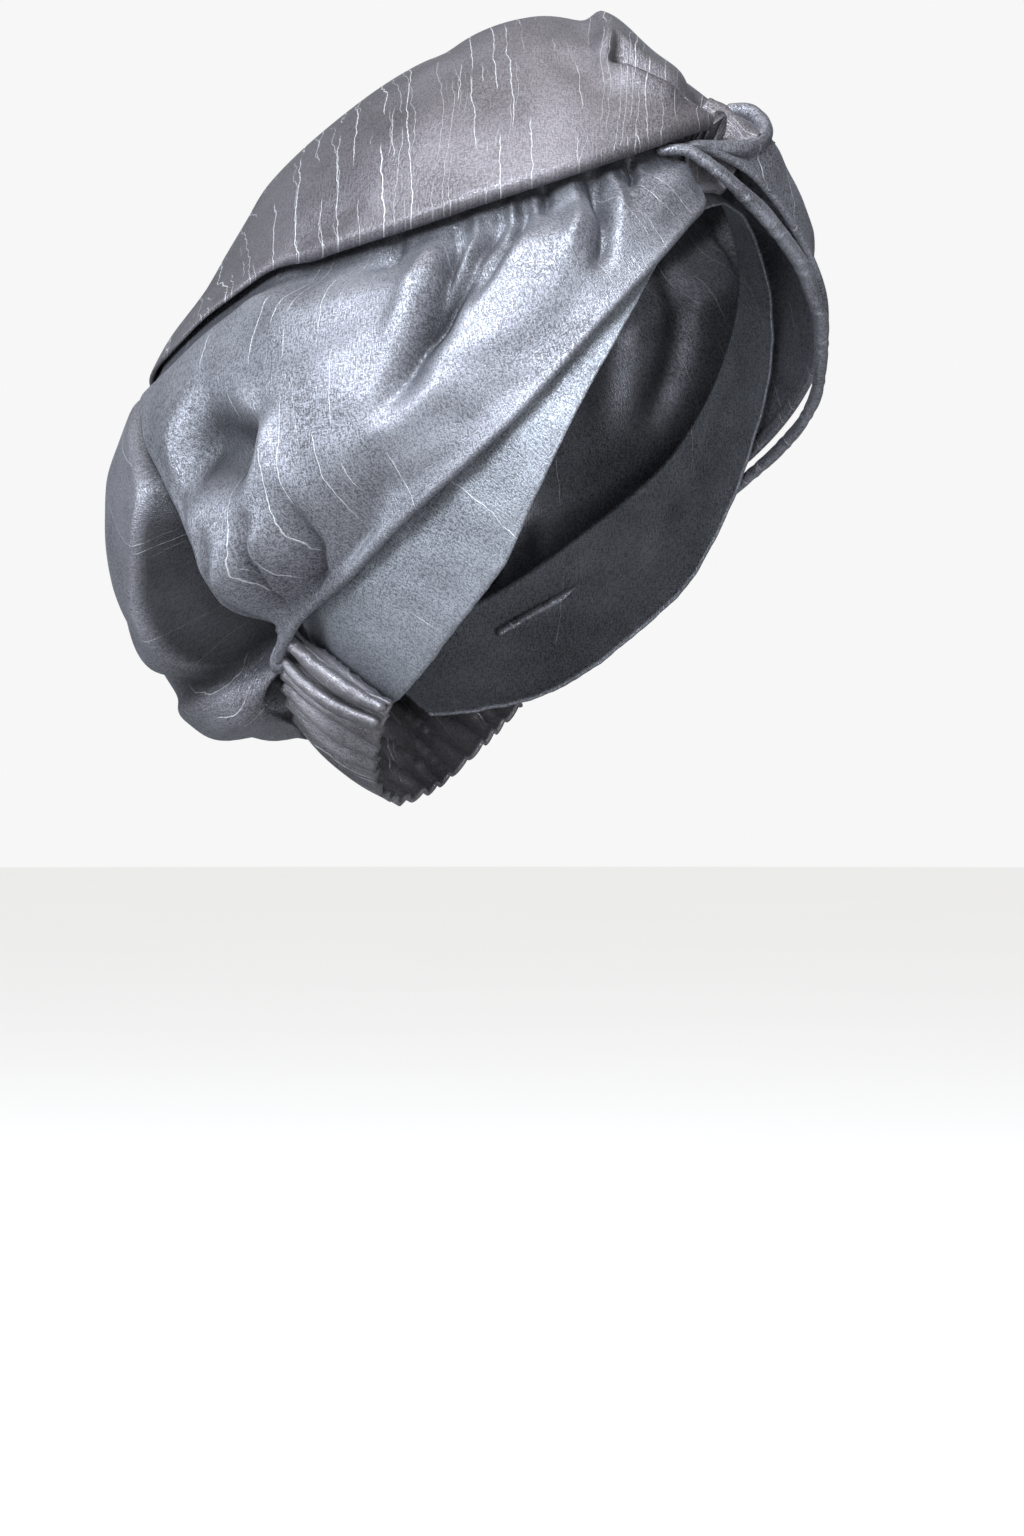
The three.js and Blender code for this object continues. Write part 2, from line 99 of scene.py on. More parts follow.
def along(rows, key, name, x):
    """The value of a column where the key column is x, on a cubic through the rows."""
    keys, values = rows[key], rows[name]
    last = len(keys) - 1
    x = np.asarray(x, float)
    i = np.searchsorted(keys[1:-1], x, side="left")
    step = keys[i + 1] - keys[i]
    t = np.clip((x - keys[i]) / step, 0.0, 1.0)
    before = np.maximum(i - 1, 0)
    after = np.minimum(i + 2, last)
    start = (values[i + 1] - values[before]) / (keys[i + 1] - keys[before]) * step
    end = (values[after] - values[i]) / (keys[after] - keys[i]) * step
    rise = values[i + 1] - values[i]
    bend = 3 * rise - 2 * start - end
    twist = start + end - 2 * rise
    return values[i] + t * (start + t * (bend + t * twist))


def place(az, el, lift):
    """Points in millimetres for places round the head."""
    az, el = np.radians(az), np.radians(el)
    level = np.cos(el)
    front = level * np.cos(az)
    side = level * np.sin(az)
    top = np.sin(el) + 0.0 * az
    head = 1.0 / np.sqrt((front / HEAD_FRONT) ** 2 + (side / HEAD_SIDE) ** 2 + (top / HEAD_TOP) ** 2)
    out = (head + lift)[..., None]
    return out * (front[..., None] * FORWARD + side[..., None] * RIGHTWARD + top[..., None] * UPWARD)


print("crown of the head at", np.round(place(np.array(0.0), np.array(90.0), 0.0), 1), "mm")

# %% [markdown]
# The outermost cloth has one table: a row for each elevation, and a column for each side of the
# head, 30 degrees apart from the face to the back. Every layer is worked out from it, so layers
# that lie over each other never cross.

# %% The outermost cloth
SIDES = "face brow temple ear behind_ear rear_side back".split()
SIDE_STEP = 30.0
COVER = table(
    "el face brow temple ear behind_ear rear_side back",
    (-45, 5, 5, 6, 7, 10, 20, 30),
    (-30, 5, 5, 6, 8, 14, 34, 45),
    (-15, 5, 5, 7, 9, 21, 54, 66),
    (0, 5, 6, 9, 14, 28, 56, 68),
    (15, 8.5, 9, 12, 17, 30, 52, 63),
    (30, 19.5, 15, 15, 18, 27, 42, 51),
    (45, 30, 22, 18, 18, 23, 32, 40),
    (60, 33.5, 29, 24, 24, 27, 31, 36),
    (75, 40, 36, 30, 29, 29, 30, 31),
    (90, 34, 34, 34, 34, 34, 34, 34),
)


def cover(az, el):
    """Lift of the outermost cloth."""
    az, el = np.broadcast_arrays(np.asarray(az, float), np.asarray(el, float))
    lifts = np.stack([along(COVER, "el", side, el) for side in SIDES])
    turn = np.abs((az + 540.0) % 360.0 - 180.0) / SIDE_STEP
    last = len(SIDES) - 1
    i = np.clip(np.ceil(turn).astype(int) - 1, 0, last - 1)
    before = np.maximum(i - 1, 0)
    after = np.minimum(i + 2, last)

    def pick(k):
        return np.take_along_axis(lifts, k[None], 0)[0]

    t = np.clip(turn - i, 0.0, 1.0)
    rise = pick(i + 1) - pick(i)
    start = (pick(i + 1) - pick(before)) / (i + 1 - before)
    end = (pick(after) - pick(i)) / (after - i)
    bend = 3 * rise - 2 * start - end
    twist = start + end - 2 * rise
    return pick(i) + t * (start + t * (bend + t * twist))


CASING = table(
    "at seam_az seam_el seam_lift free_az free_el free_lift",
    (0, 151, -17, 16, 140, -40, 9),
    (0.35, 157.5, -22, 24, 151, -42, 17),
    (0.7, 167, -27, 29, 165, -44, 26),
    (1, 180, -28, 33, 180, -45, 29),
)
CASING_AZ, CASING_EL = 151.0, -17.0


def from_casing(az, el):
    """How far the cloth is from the casing that gathers it, in millimetres."""
    turn = np.abs(az)
    above = np.maximum(0.0, (el - along(CASING, "seam_az", "seam_el", turn)) * ARC)
    aside = (turn - CASING_AZ) * np.cos(np.radians(CASING_EL))
    beside = np.hypot(aside, np.maximum(0.0, el - CASING_EL)) * ARC
    return np.where(turn >= CASING_AZ, above, beside)


def gathered(az, el, swell):
    """Lift of cloth that swells out of the casing's seam in a quarter round."""
    seam = along(CASING, "seam_az", "seam_lift", np.clip(np.abs(az), CASING_AZ, 180.0))
    t = np.clip(from_casing(az, el) / swell, 0.0, 1.0)
    return mix(seam, cover(az, el), np.sin(t * np.pi / 2))


print("cloth stands", round(float(cover(180.0, 0.0)), 1), "mm off the head at the back")

# %% [markdown]
# A fold in soft satin is a ridge or a valley that runs along a curved path and fades at both
# ends. It could be sculpted by hand or left to a cloth simulation, but a simulation never puts a
# fold where the real one is. So each fold is a row: its path, its width on either side, and its
# rise. A crease has one narrow side, as where one fold lies over the next.

# %% Folds along a path
FOLD_FADE = 0.3


def fold_rise(folds, az, el):
    """Sum of the folds' rises at each place, in millimetres."""
    total = np.zeros(np.broadcast(az, el).shape)
    for path, width, other, rise in folds:
        path = np.array(path, float)
        level = np.cos(np.radians(path[:, 1].mean()))
        scale = np.array([level * ARC, ARC])
        knots = path * scale
        x = az * scale[0] + 0.0 * el
        y = el * scale[1] + 0.0 * az
        best = np.full(x.shape, FAR)
        side = np.ones(x.shape)
        reach = np.zeros(x.shape)
        run = 0.0
        for a, b in zip(knots[:-1], knots[1:]):
            step = b - a
            size = np.hypot(*step)
            s = ((x - a[0]) * step[0] + (y - a[1]) * step[1]) / size
            inside = np.clip(s, 0.0, size)
            dx = x - a[0] - step[0] / size * inside
            dy = y - a[1] - step[1] / size * inside
            gap = np.hypot(dx, dy)
            nearer = gap < best
            best = np.where(nearer, gap, best)
            side = np.where(nearer, np.sign(dx * step[1] - dy * step[0]), side)
            reach = np.where(nearer, run + inside, reach)
            run += size
        fade = run * FOLD_FADE
        ends = smooth(reach / fade) * smooth((run - reach) / fade)
        wide = np.where(side > 0, width, other)
        total = total + rise * ends * np.exp(-((best / wide) ** 2))
    return total


def crumple(x, y, size, seed=0.0):
    """Gentle unevenness between -1 and 1, in lumps of about this size."""
    total = 0.0
    for k, stretch in enumerate((1.0, 1.37, 0.83, 1.71)):
        turn = 0.3 + 1.1 * k + seed
        u = x * np.cos(turn) + y * np.sin(turn)
        v = y * np.cos(turn) - x * np.sin(turn)
        wander = 1.7 * np.sin(2 * np.pi * v / (1.9 * size) + seed)
        total = total + np.sin(2 * np.pi * stretch * u / size + 2.1 * k + wander)
    return total / 4


def spread(low, high, count, dense=()):
    """Sorted numbers from low to high, closer together in the dense stretches."""
    fine = np.linspace(low, high, 4001)
    weight = np.ones(fine.shape)
    for a, b, times in dense:
        weight += (times - 1) * smooth((fine - a) / 6 + 1) * smooth((b - fine) / 6 + 1)
    total = np.concatenate([[0.0], np.cumsum((weight[1:] + weight[:-1]) / 2)])
    return np.interp(np.linspace(0.0, total[-1], count), total, fine)


print("fold helpers ready")

# %% [markdown]
# A cloth wall is a closed skin: the outer face is a grid of points, the inner face is the same
# grid pushed in along its normals, and strips join their edges. A solidify modifier could do
# this too, but building both faces by hand keeps each point's place along the threads, which the
# finish needs to draw the slubs in the right direction.

# %% Building a cloth wall
def unit(v):
    return v / np.maximum(np.linalg.norm(v, axis=-1, keepdims=True), 1e-9)


def grid_normals(grid, ring=False):
    if ring:
        across = np.roll(grid, -1, 0) - np.roll(grid, 1, 0)
    else:
        across = np.gradient(grid, axis=0)
    down = np.gradient(grid, axis=1)
    down[:, 0] = down[:, 1]
    normals = np.cross(across, down)
    normals[:, 0] = np.where(np.abs(across[:, :1]).sum(-1) < 1e-6, normals[:, 1], normals[:, 0])
    return unit(normals)


def make_mesh(name, points, faces, threads):
    """A smooth mesh in metres, with the place along the threads kept as a UV map."""
    mesh = bpy.data.meshes.new(name)
    mesh.from_pydata((np.asarray(points) * MM).tolist(), [], faces)
    layer = mesh.uv_layers.new(name="threads")
    corners = np.empty(len(mesh.loops), np.int32)
    mesh.loops.foreach_get("vertex_index", corners)
    layer.data.foreach_set("uv", (np.asarray(threads)[corners] * MM).astype(np.float32).ravel())
    mesh.polygons.foreach_set("use_smooth", [True] * len(mesh.polygons))
    mesh.update()
    piece = bpy.data.objects.new(name, mesh)
    bpy.context.collection.objects.link(piece)
    return piece


def cloth_wall(name, grid, threads, wall=1.2, ring=False, depth=None):
    """A closed wall from a grid of places on its outer face, columns towards the right."""
    columns, rows = grid.shape[:2]
    normals = grid_normals(grid, ring)
    inner = grid - normals * wall
    points = np.concatenate([grid.reshape(-1, 3), inner.reshape(-1, 3)])
    number = np.arange(columns * rows).reshape(columns, rows)
    if ring:
        number = np.concatenate([number, number[:1]])
    a, b = number[:-1, :-1], number[1:, :-1]
    c, d = number[1:, 1:], number[:-1, 1:]
    count = columns * rows
    faces = [np.stack([a, b, c, d], -1).reshape(-1, 4)]
    faces.append(np.stack([a, d, c, b], -1).reshape(-1, 4) + count)
    low = number[:, -1]
    faces.append(np.stack([low[:-1], low[1:], low[1:] + count, low[:-1] + count], -1))
    top = number[:, 0]
    faces.append(np.stack([top[:-1] + count, top[1:] + count, top[1:], top[:-1]], -1))
    if not ring:
        first, last = number[0], number[-1]
        faces.append(np.stack([first[:-1], first[1:], first[1:] + count, first[:-1] + count], -1))
        faces.append(np.stack([last[:-1] + count, last[1:] + count, last[1:], last[:-1]], -1))
    threads = threads.reshape(-1, 2)
    faces = np.concatenate(faces).tolist()
    piece = make_mesh(name, points, faces, np.concatenate([threads, threads]))
    # depth is a painted shade: a point attribute by which the finish darkens the cloth in creases,
    # slits and under the drape's roll.
    if depth is not None:
        layer = piece.data.attributes.new("depth", "FLOAT", "POINT")
        layer.data.foreach_set("value", np.tile(depth.ravel(), 2).astype(np.float32))
    print(name, len(piece.data.polygons), "faces")
    return piece


def with_rolled_edge(grid, radius, turns=10, flap=4.0):
    """The grid carried on round a rolled edge and back up inside for a short flap."""
    last, before = grid[:, -1], grid[:, -2]
    down = unit(last - before)
    out = unit(last)
    out = unit(out - (out * down).sum(-1, keepdims=True) * down)
    radius = np.broadcast_to(radius, last.shape[:1])[:, None]
    centre = last - out * radius
    turn = np.linspace(0.0, np.pi, turns + 1)[1:]
    roll = [centre + radius * (out * np.cos(k) + down * np.sin(k)) for k in turn]
    flaps = [roll[-1] - down * flap * k for k in (0.5, 1.0)]
    return np.concatenate([grid, np.stack([*roll, *flaps], 1)], 1)


def threads_of(grid, turn=0.0):
    """Place along the cloth in millimetres: u across the columns, v down them."""
    steps = np.linalg.norm(np.diff(grid, axis=1), axis=-1)
    v = np.concatenate([np.zeros((len(grid), 1)), np.cumsum(steps, 1)], 1)
    middle = grid[:, grid.shape[1] // 2]
    u = np.concatenate([[0.0], np.cumsum(np.linalg.norm(np.diff(middle, axis=0), axis=-1))])
    u = u[:, None] + 0.0 * v
    return np.stack([u * np.cos(turn) + v * np.sin(turn), v * np.cos(turn) - u * np.sin(turn)], -1)


print("cloth wall helpers ready")

# %% [markdown]
# The crown drape goes over the top of the head and ends in a fat rolled edge, because the cloth
# is folded under there. In front it is pleated, and the pleat stands open like a small pocket.
# The pocket is cut by two lips: cloth beyond both lips drops, then climbs again to the far side.

# %% The crown drape
DRAPE_EDGE = table(
    "az el roll sink",
    (-180, 27, 0.7, 0.8),
    (-150, 30, 0.7, 0.8),
    (-135, 37.5, 0.8, 0.8),
    (-126, 42, 1.3, 0.5),
    (-118, 44, 2.7, 0),
    (-60, 43, 3, 0),
    (-25, 43, 3, 0),
    (-12, 44.5, 2.6, 2),
    (-4, 45.2, 1.9, 6),
    (3, 43.0, 2.1, 1.5),
    (13, 42, 3, 0),
    (40, 42, 3, 0),
    (75, 43.8, 3, 0),
    (118, 44, 2.7, 0),
    (126, 42, 1.3, 0.5),
    (135, 37.5, 0.8, 0.8),
    (150, 30.5, 0.7, 0.8),
    (180, 27, 0.7, 0.8),
)
POCKET_LOWER_LIP = [(25, 58), (22.6, 56.4), (20.2, 52.2), (17, 49.0), (12, 45)]
POCKET_UPPER_LIP = [(25, 55), (22.6, 56.4), (13, 60.5), (3, 64.5), (-6, 67)]
POCKET_LIP = 1.3
POCKET_DEPTH = 24.0
DRAPE_FOLDS = [
    ([(27, 59), (22.6, 57.2), (13, 61.4), (3, 65.5), (-8, 68)], 3.4, 9, 6.0),
    ([(24, 56), (20.2, 51.4), (17.4, 48.4), (13, 44.8)], 2.2, 4, 3.0),
    ([(-10, 50), (3, 47.5), (13, 45)], 7, 6, -6.5),
    ([(60, 60), (95, 56), (140, 50)], 16, 16, 1.5),
    ([(34, 66), (28, 56), (30, 47)], 7, 7, -2.2),
    ([(118, 46), (126, 43), (139, 36), (150, 31.4)], 3, 5, 1.2),
    ([(95, 50), (112, 47), (122, 43)], 5, 5, -1.2),
    ([(160, 60), (158, 48), (163, 34)], 9, 9, -1.4),
]


def side_of(path, az, el):
    """Signed distance in millimetres from a path, positive on its left."""
    path = np.array(path, float)
    scale = np.array([np.cos(np.radians(path[:, 1].mean())) * ARC, ARC])
    knots = path * scale
    x = az * scale[0] + 0.0 * el
    y = el * scale[1] + 0.0 * az
    best = np.full(x.shape, FAR)
    signed = np.zeros(x.shape)
    for a, b in zip(knots[:-1], knots[1:]):
        step = b - a
        size = np.hypot(*step)
        s = np.clip(((x - a[0]) * step[0] + (y - a[1]) * step[1]) / size, 0.0, size)
        dx = x - a[0] - step[0] / size * s
        dy = y - a[1] - step[1] / size * s
        gap = np.hypot(dx, dy)
        hand = np.sign(step[0] * (y - a[1]) - step[1] * (x - a[0]))
        signed = np.where(gap < best, hand * gap, signed)
        best = np.minimum(best, gap)
    return signed


def pocket(az, el):
    """How far the cloth inside the open pleat drops."""
    from_lower = -side_of(POCKET_LOWER_LIP, az, el)
    from_upper = side_of(POCKET_UPPER_LIP, az, el)
    inside = smooth(from_lower / POCKET_LIP) * smooth(from_upper / POCKET_LIP)
    climb = smooth((14.0 - from_lower) / 12.0)
    return POCKET_DEPTH * inside * climb * smooth((az + 8.0) / 8.0)


def top_drape():
    az = spread(-180.0, 180.0, 301, [(-15.0, 45.0, 3.0)])[:-1]
    t = spread(0.0, 1.0, 84)
    a = az[:, None]
    edge = along(DRAPE_EDGE, "az", "el", az)[:, None]
    el = mix(90.0, edge, t[None])
    lift = cover(a, el) + fold_rise(DRAPE_FOLDS, a, el) * smooth((90.0 - el) / 20.0)
    lift = lift - pocket(a, el) * smooth((86.0 - el) / 10.0)
    lift = lift - along(DRAPE_EDGE, "az", "sink", az)[:, None] * smooth((t[None] - 0.6) / 0.4)
    grid = place(a + 0.0 * el, el, lift)
    normals = unit(grid)
    lumps = crumple(grid[..., 0], grid[..., 1] + 0.6 * grid[..., 2], 46.0)
    grid = grid + normals * (0.7 * lumps * smooth((1.0 - t) / 0.2))[..., None]
    grid = with_rolled_edge(grid, along(DRAPE_EDGE, "az", "roll", az))
    across = 0.42 * grid[..., 0] - 0.907 * grid[..., 1]
    around = 120.0 * np.arctan2(grid[..., 2], 0.9 * grid[..., 0] + 0.42 * grid[..., 1])
    return cloth_wall("crown_drape", grid, np.stack([across, around], -1), ring=True)


drape = top_drape()

# %% [markdown]
# Each side wrap starts under the drape's roll, swells out over the ear, and is drawn together at
# the nape. The puckers under the roll, the soft hollow behind the ear and the creases that run
# to the gathering point are the folds that give the turban its look, so each has its own row.
# How deep a crease goes is kept at each point as "depth", and the finish darkens the cloth by it: a
# painted shade in the creases and in a band just under the drape's roll.

# %% The side wraps
RIGHT_OUTLINE = table(
    "at top_az top_el low_az low_el bow hug hem",
    (0, 26, 46, 15.5, 35.8, 0, 8.8, 8),
    (0.05, 29.5, 47, 18, 32, 0, 8.6, 14),
    (0.1, 34, 47, 25.5, 28.4, 0, 8.5, 22),
    (0.25, 52, 47, 47, 16.5, 0, 8.5, 32),
    (0.5, 80, 48, 81, -3, 0, 8.5, 32),
    (0.75, 110, 48, 122, -16, 0, 12.5, 30),
    (0.9, 132, 43, 141, -17.5, 6, 18, 20),
    (1, 157, 33, 153, -20.5, 16, 27, 14),
)
LEFT_OUTLINE = table(
    "at top_az top_el low_az low_el bow hug hem",
    (0, 16.5, 41, 16.8, 39.6, 0, 18, 4),
    (0.06, 10.5, 39.8, 11.5, 38.2, 0, 18.5, 5),
    (0.11, 3.5, 38.4, 3.8, 33.6, 0, 18.0, 9),
    (0.15, -2.5, 38.6, -2, 29.2, 0, 15.8, 16),
    (0.2, -9, 42, -9, 23.6, 0, 13.4, 24),
    (0.27, -20, 46, -20, 14.6, 0, 11.0, 30),
    (0.5, -60, 48, -62, -3, 0, 8.5, 32),
    (0.75, -110, 48, -122, -16, 0, 12.5, 30),
    (0.9, -132, 43, -141, -17.5, -6, 18, 20),
    (1, -157, 33, -153, -20.5, -16, 27, 14),
)
RIGHT_FOLDS = [
    ([(76, 47), (76.9, 40), (80, 30), (86.3, 21), (93, 14), (102, 5)], 7, 3.2, -6.5),
    ([(82, 46), (84, 36), (89, 26), (97, 17)], 5, 5, 2.6),
    ([(64, 46), (65.5, 40), (70, 35.0), (76.3, 28.6), (83, 22), (91, 15)], 4.5, 3.0, -4.6),
    ([(70, 46), (72, 38), (76, 31), (82, 25)], 3, 3, 2.4),
    ([(57.5, 46), (59, 40), (64, 34), (71, 28), (79, 21)], 2.6, 4.5, -4.2),
    ([(60.5, 45), (62.5, 39), (66.5, 34)], 2.2, 2.2, 1.8),
    ([(40.5, 46), (41.8, 40), (43.5, 34), (46.4, 28), (51, 21)], 4.2, 2.6, -5.8),
    ([(46, 46), (47, 39), (50, 32), (56, 24)], 3, 4, 2.0),
    ([(36.5, 44), (37.5, 38), (40, 31)], 2.4, 3, 2.0),
    ([(30.0, 44), (31.4, 40), (34.5, 36.5)], 1.7, 1.7, -3.6),
    ([(52, 46), (53, 41), (56, 37)], 2.0, 2.4, -2.4),
    ([(92, 47), (93, 42), (97, 36)], 3, 4, -2.2),
    ([(139, 14), (132, 12.4), (127, 10.5), (122, 7)], 14, 13, -11.0),
    ([(130, 21), (125.2, 18.2), (121.6, 13.5), (119.6, 8.0), (119, 2), (120, -5)], 4.0, 9, 2.0),
    ([(118.5, 3), (120.6, -4), (123, -9), (128, -13.5), (138, -17), (152, -22)], 2.2, 3.6, -4.8),
    ([(123, 4), (125.5, -3), (129, -9), (135, -14), (143, -17.5), (154, -22)], 4, 4, 3.6),
    ([(127, 3), (129, -4), (132, -8.5), (137, -13), (146, -18), (156, -23)], 2.1, 3.6, -5.6),
    ([(131, 2), (133, -5), (137, -10.5), (142, -14.5), (149, -18.5), (158, -24)], 3.2, 3.2, 3.2),
    ([(134, 3), (136.5, -5), (140, -10.5), (145, -15), (151, -19.5), (160, -25)], 2.0, 3.2, -4.8),
    ([(98, 4), (107, -5), (117, -13), (130, -19)], 6, 6, -2.4),
    ([(98, 40), (112, 35), (126, 29)], 12, 12, 1.6),
]
LEFT_FOLDS = [
    ([(-1, 42), (-4, 37.5), (-7, 34), (-11, 29.5), (-17, 25), (-26, 20)], 7, 10, 5.0),
    ([(-64, 45), (-68, 36), (-78, 24), (-96, 8)], 5, 6, -4.2),
    ([(-88, 45), (-92, 30), (-104, 12)], 7, 7, -3.4),
    ([(-40, 44), (-44, 36), (-52, 26)], 3, 4, -3.4),
    ([(-128, 18), (-126, 8), (-127, 0)], 10, 10, -7.0),
    ([(-119, 2), (-122, -8), (-128, -17)], 2.4, 3.6, -4.2),
    ([(-127, 0), (-130, -8), (-134, -18)], 2.4, 3.6, -4.2),
    ([(-10, 28), (-16, 20), (-28, 12), (-46, 4)], 4, 5, -2.0),
]
WRAP_ROLL = 1.7
LEFT_WRAP_ROLL = 1.3
WRAP_SWELL = 42.0
POUCH_SWELL = 30.0
ROLL_CLEAR = 0.5
ROLL_REACH = 4.0


def tucked_under(az, el, puff):
    """How far cloth under the drape's rolled edge lies below the outermost cloth."""
    below = (along(DRAPE_EDGE, "az", "el", az) - el) * ARC
    depth = 2 * along(DRAPE_EDGE, "az", "roll", az) + CLEAR + ROLL_CLEAR
    return depth * (1.0 - smooth((below - ROLL_REACH) / puff))


def wrap_lift(az, el, hug, from_edge, hem):
    """Lift of a wrap before its folds: it swells below the roll and hugs at its lower edge."""
    puff = mix(24.0, 9.0, smooth((np.abs(az) - 112.0) / 15.0))
    full = gathered(az, el, WRAP_SWELL) - tucked_under(az, el, puff)
    return mix(hug, full, smooth(from_edge / hem))


def side_wrap(name, outline, folds, columns, stations, facing):
    """stations are the places along the outline at 0, 0.3, 0.7 and 1 of its columns."""
    s = np.interp(np.linspace(0, 1, columns), (0, 0.3, 0.7, 1), stations)
    t = np.concatenate([[0.0], np.cumsum(np.linspace(1.4, 0.7, 99))])
    t = t / t[-1]
    row = {name: along(outline, "at", name, s)[:, None] for name in outline}
    az = mix(row["top_az"], row["low_az"], t) - row["bow"] * np.sin(np.pi * t ** 1.3)
    el = mix(row["top_el"], row["low_el"], t)
    tall, wide = row["top_el"] - row["low_el"], row["top_az"] - row["low_az"]
    from_edge = (1.0 - t) * np.hypot(tall, wide) * ARC
    lift = wrap_lift(az, el, row["hug"], from_edge, row["hem"])
    creases = fold_rise(folds, az, el) * smooth(from_edge / 6.0)
    # Painted shade: depth marks the crease valleys and a band just under the drape's roll, where the
    # finish darkens the cloth.
    below_roll = (along(DRAPE_EDGE, "az", "el", az) - el) * ARC
    depth = np.maximum(smooth(-creases / 9.0), 0.8 - 0.8 * smooth((below_roll - 3.5) / 5.0))
    lift = lift + creases
    ends = smooth(from_edge / 14.0) * smooth(t / 0.15)
    pull = from_casing(az, el)
    gathers = np.cos(np.radians(el * 17.0 - az * 9.0)) * np.exp(-pull / 12.0)
    lift = lift + 1.3 * gathers * ends
    lift = lift + 0.55 * ends * crumple(az * 1.6, el * ARC, 27.0, 0.7)
    near_loop = np.interp(s, (0, 0.06, 0.11, 0.15, 0.2, 0.27), (1.5, 2.5, 1.5, 3.5, 3, 0))
    lift = lift + (facing < 0) * near_loop[:, None] * (1.0 - smooth(t / 0.6))
    turned_in = smooth((s[:, None] - 0.95) / 0.05) ** 2
    lift = lift - 4.0 * turned_in * smooth((t - 0.12) / 0.3) * smooth(from_edge / 16.0)
    grid = place(az, el, lift)
    roll = 0.5 + 2.3 * smooth((t - 0.05) / 0.25) * smooth((0.97 - t) / 0.2)
    grid = with_rolled_edge(grid.transpose(1, 0, 2), roll, 9, 4.0).transpose(1, 0, 2)
    extra = grid.shape[0] - columns
    depth = np.pad(depth, [(0, extra), (0, 0)], mode="edge")
    if facing < 0:
        grid, depth = grid[::-1], depth[::-1]
    grid = with_rolled_edge(grid, WRAP_ROLL if facing > 0 else LEFT_WRAP_ROLL, flap=3.0)
    depth = np.pad(depth, [(0, 0), (0, grid.shape[1] - depth.shape[1])], mode="edge")
    return cloth_wall(name, grid, threads_of(grid), depth=depth)


right_wrap = side_wrap("near_wrap", RIGHT_OUTLINE, RIGHT_FOLDS, 250, (0, 0.3, 0.68, 1), 1)
left_wrap = side_wrap("far_wrap", LEFT_OUTLINE, LEFT_FOLDS, 200, (0, 0.25, 0.68, 1), -1)

# %% [markdown]
# Behind, the cloth hangs in a soft pouch of two lobes. It comes out from under both wraps, with
# a deep slit on each side, and the lower lobe is folded up to the casing's seam. The slit has a
# painted shade as well as its shape, because the lamps shine almost straight into it.

# %% The pouch behind
POUCH_SIDE = 136.0
POUCH_TOP_EL = 34.0
WRAP_TOP_EL = 33.0
WRAP_LOW_EL = -20.5
POUCH_FOLDS = [
    ([(146, -23), (154, -21), (161, -16.5), (168, -12), (180, -9)], 4.0, 7, -12.0),
    ([(214, -23), (206, -21), (199, -16.5), (192, -12), (180, -9)], 7, 4.0, -12.0),
    ([(152, -27), (160, -23.5), (170, -20), (180, -18.5)], 6, 6, 5.5),
    ([(208, -27), (200, -23.5), (190, -20), (180, -18.5)], 6, 6, 5.5),
    ([(154, 22), (157, 8), (158, -8)], 6, 9, 2.2),
    ([(206, 22), (203, 8), (202, -8)], 9, 6, 2.2),
    ([(166, 18), (163, 2), (157, -14), (152, -21)], 5, 7, -2.4),
    ([(194, 18), (197, 2), (203, -14), (208, -21)], 7, 5, -2.4),
    ([(178, 24), (175, 8), (172, -8)], 8, 8, -1.8),
    ([(150, -10), (151.5, -15), (153, -21)], 2.5, 3.5, -2.6),
    ([(157, -24), (166, -22), (180, -21)], 4, 4, 2.4),
    ([(203, -24), (194, -22), (180, -21)], 4, 4, 2.4),
]


def back_pouch():
    az = np.linspace(POUCH_SIDE, 360.0 - POUCH_SIDE, 230)[:, None]
    t = spread(0.0, 1.0, 110)[None]
    turn = 180.0 - np.abs(180.0 - az)
    signed = np.where(az > 180.0, az - 360.0, az)
    seam = along(CASING, "seam_az", "seam_el", np.maximum(turn, CASING_AZ))
    low = 0.3 * np.maximum(0.0, CASING_AZ - turn)
    el = mix(POUCH_TOP_EL, seam + 1.3 + low, t)
    signed, turn, az = signed + 0 * el, turn + 0 * el, az + 0 * el
    near_seam = from_casing(signed, el)
    open_cloth = gathered(signed, el, POUCH_SWELL) - tucked_under(signed, el, 9.0)
    keep = smooth(near_seam / 5.0) * smooth(t / 0.12)
    creases = fold_rise(POUCH_FOLDS, az, el) * keep
    open_cloth = open_cloth + creases
    open_cloth = open_cloth + 0.6 * keep * crumple(az * 1.5, el * ARC, 31.0, 1.9)
    gathers = np.cos(np.radians((az - 180.0) * 22.0)) * np.exp(-near_seam / 11.0)
    open_cloth = open_cloth + 1.5 * gathers * smooth(near_seam / 3.0)
    hug = along(RIGHT_OUTLINE, "low_az", "hug", turn)
    hem = along(RIGHT_OUTLINE, "low_az", "hem", turn)
    from_edge = (el - along(RIGHT_OUTLINE, "low_az", "low_el", turn)) * ARC
    wrap = wrap_lift(turn, el, hug, from_edge, hem)
    down = np.clip((WRAP_TOP_EL - el) / (WRAP_TOP_EL - WRAP_LOW_EL), 0.0, 1.0)
    dip = mix(7.0, 25.0, smooth((down - 0.08) / 0.5)) * smooth(near_seam / 14.0)
    under = np.minimum(wrap - np.maximum(dip, 7.0), open_cloth)
    wrap_end = mix(157.0, 153.0, down) - 16.0 * np.sin(np.pi * down ** 1.3)
    open_part = smooth((down - 0.4) / 0.3) * smooth((1.02 - down) / 0.12)
    slit = 0.8 + 6.5 * open_part
    lift = mix(under, open_cloth, smooth((turn - wrap_end - slit) / (3.0 + 4.5 * open_part)))
    grid = place(az, el, lift)
    # Painted shade: depth marks the slits and the crease valleys, where the finish darkens the cloth.
    depth = np.maximum(smooth((open_cloth - lift) / 5.0), smooth(-creases / 12.0))
    return cloth_wall("back_pouch_cloth", grid, threads_of(grid, 0.9), depth=depth)


pouch = back_pouch()

# %% [markdown]
# At the nape the pouch is gathered into a casing with elastic inside. The gathers are narrow
# rounded ridges with tight valleys between them, and no two are quite alike, so each has its own
# height and the rows wander a little from one edge to the other.

# %% The gathered casing
RIDGES = 18
RIDGE_HEIGHT = 3.0
CASING_WALL = 1.4


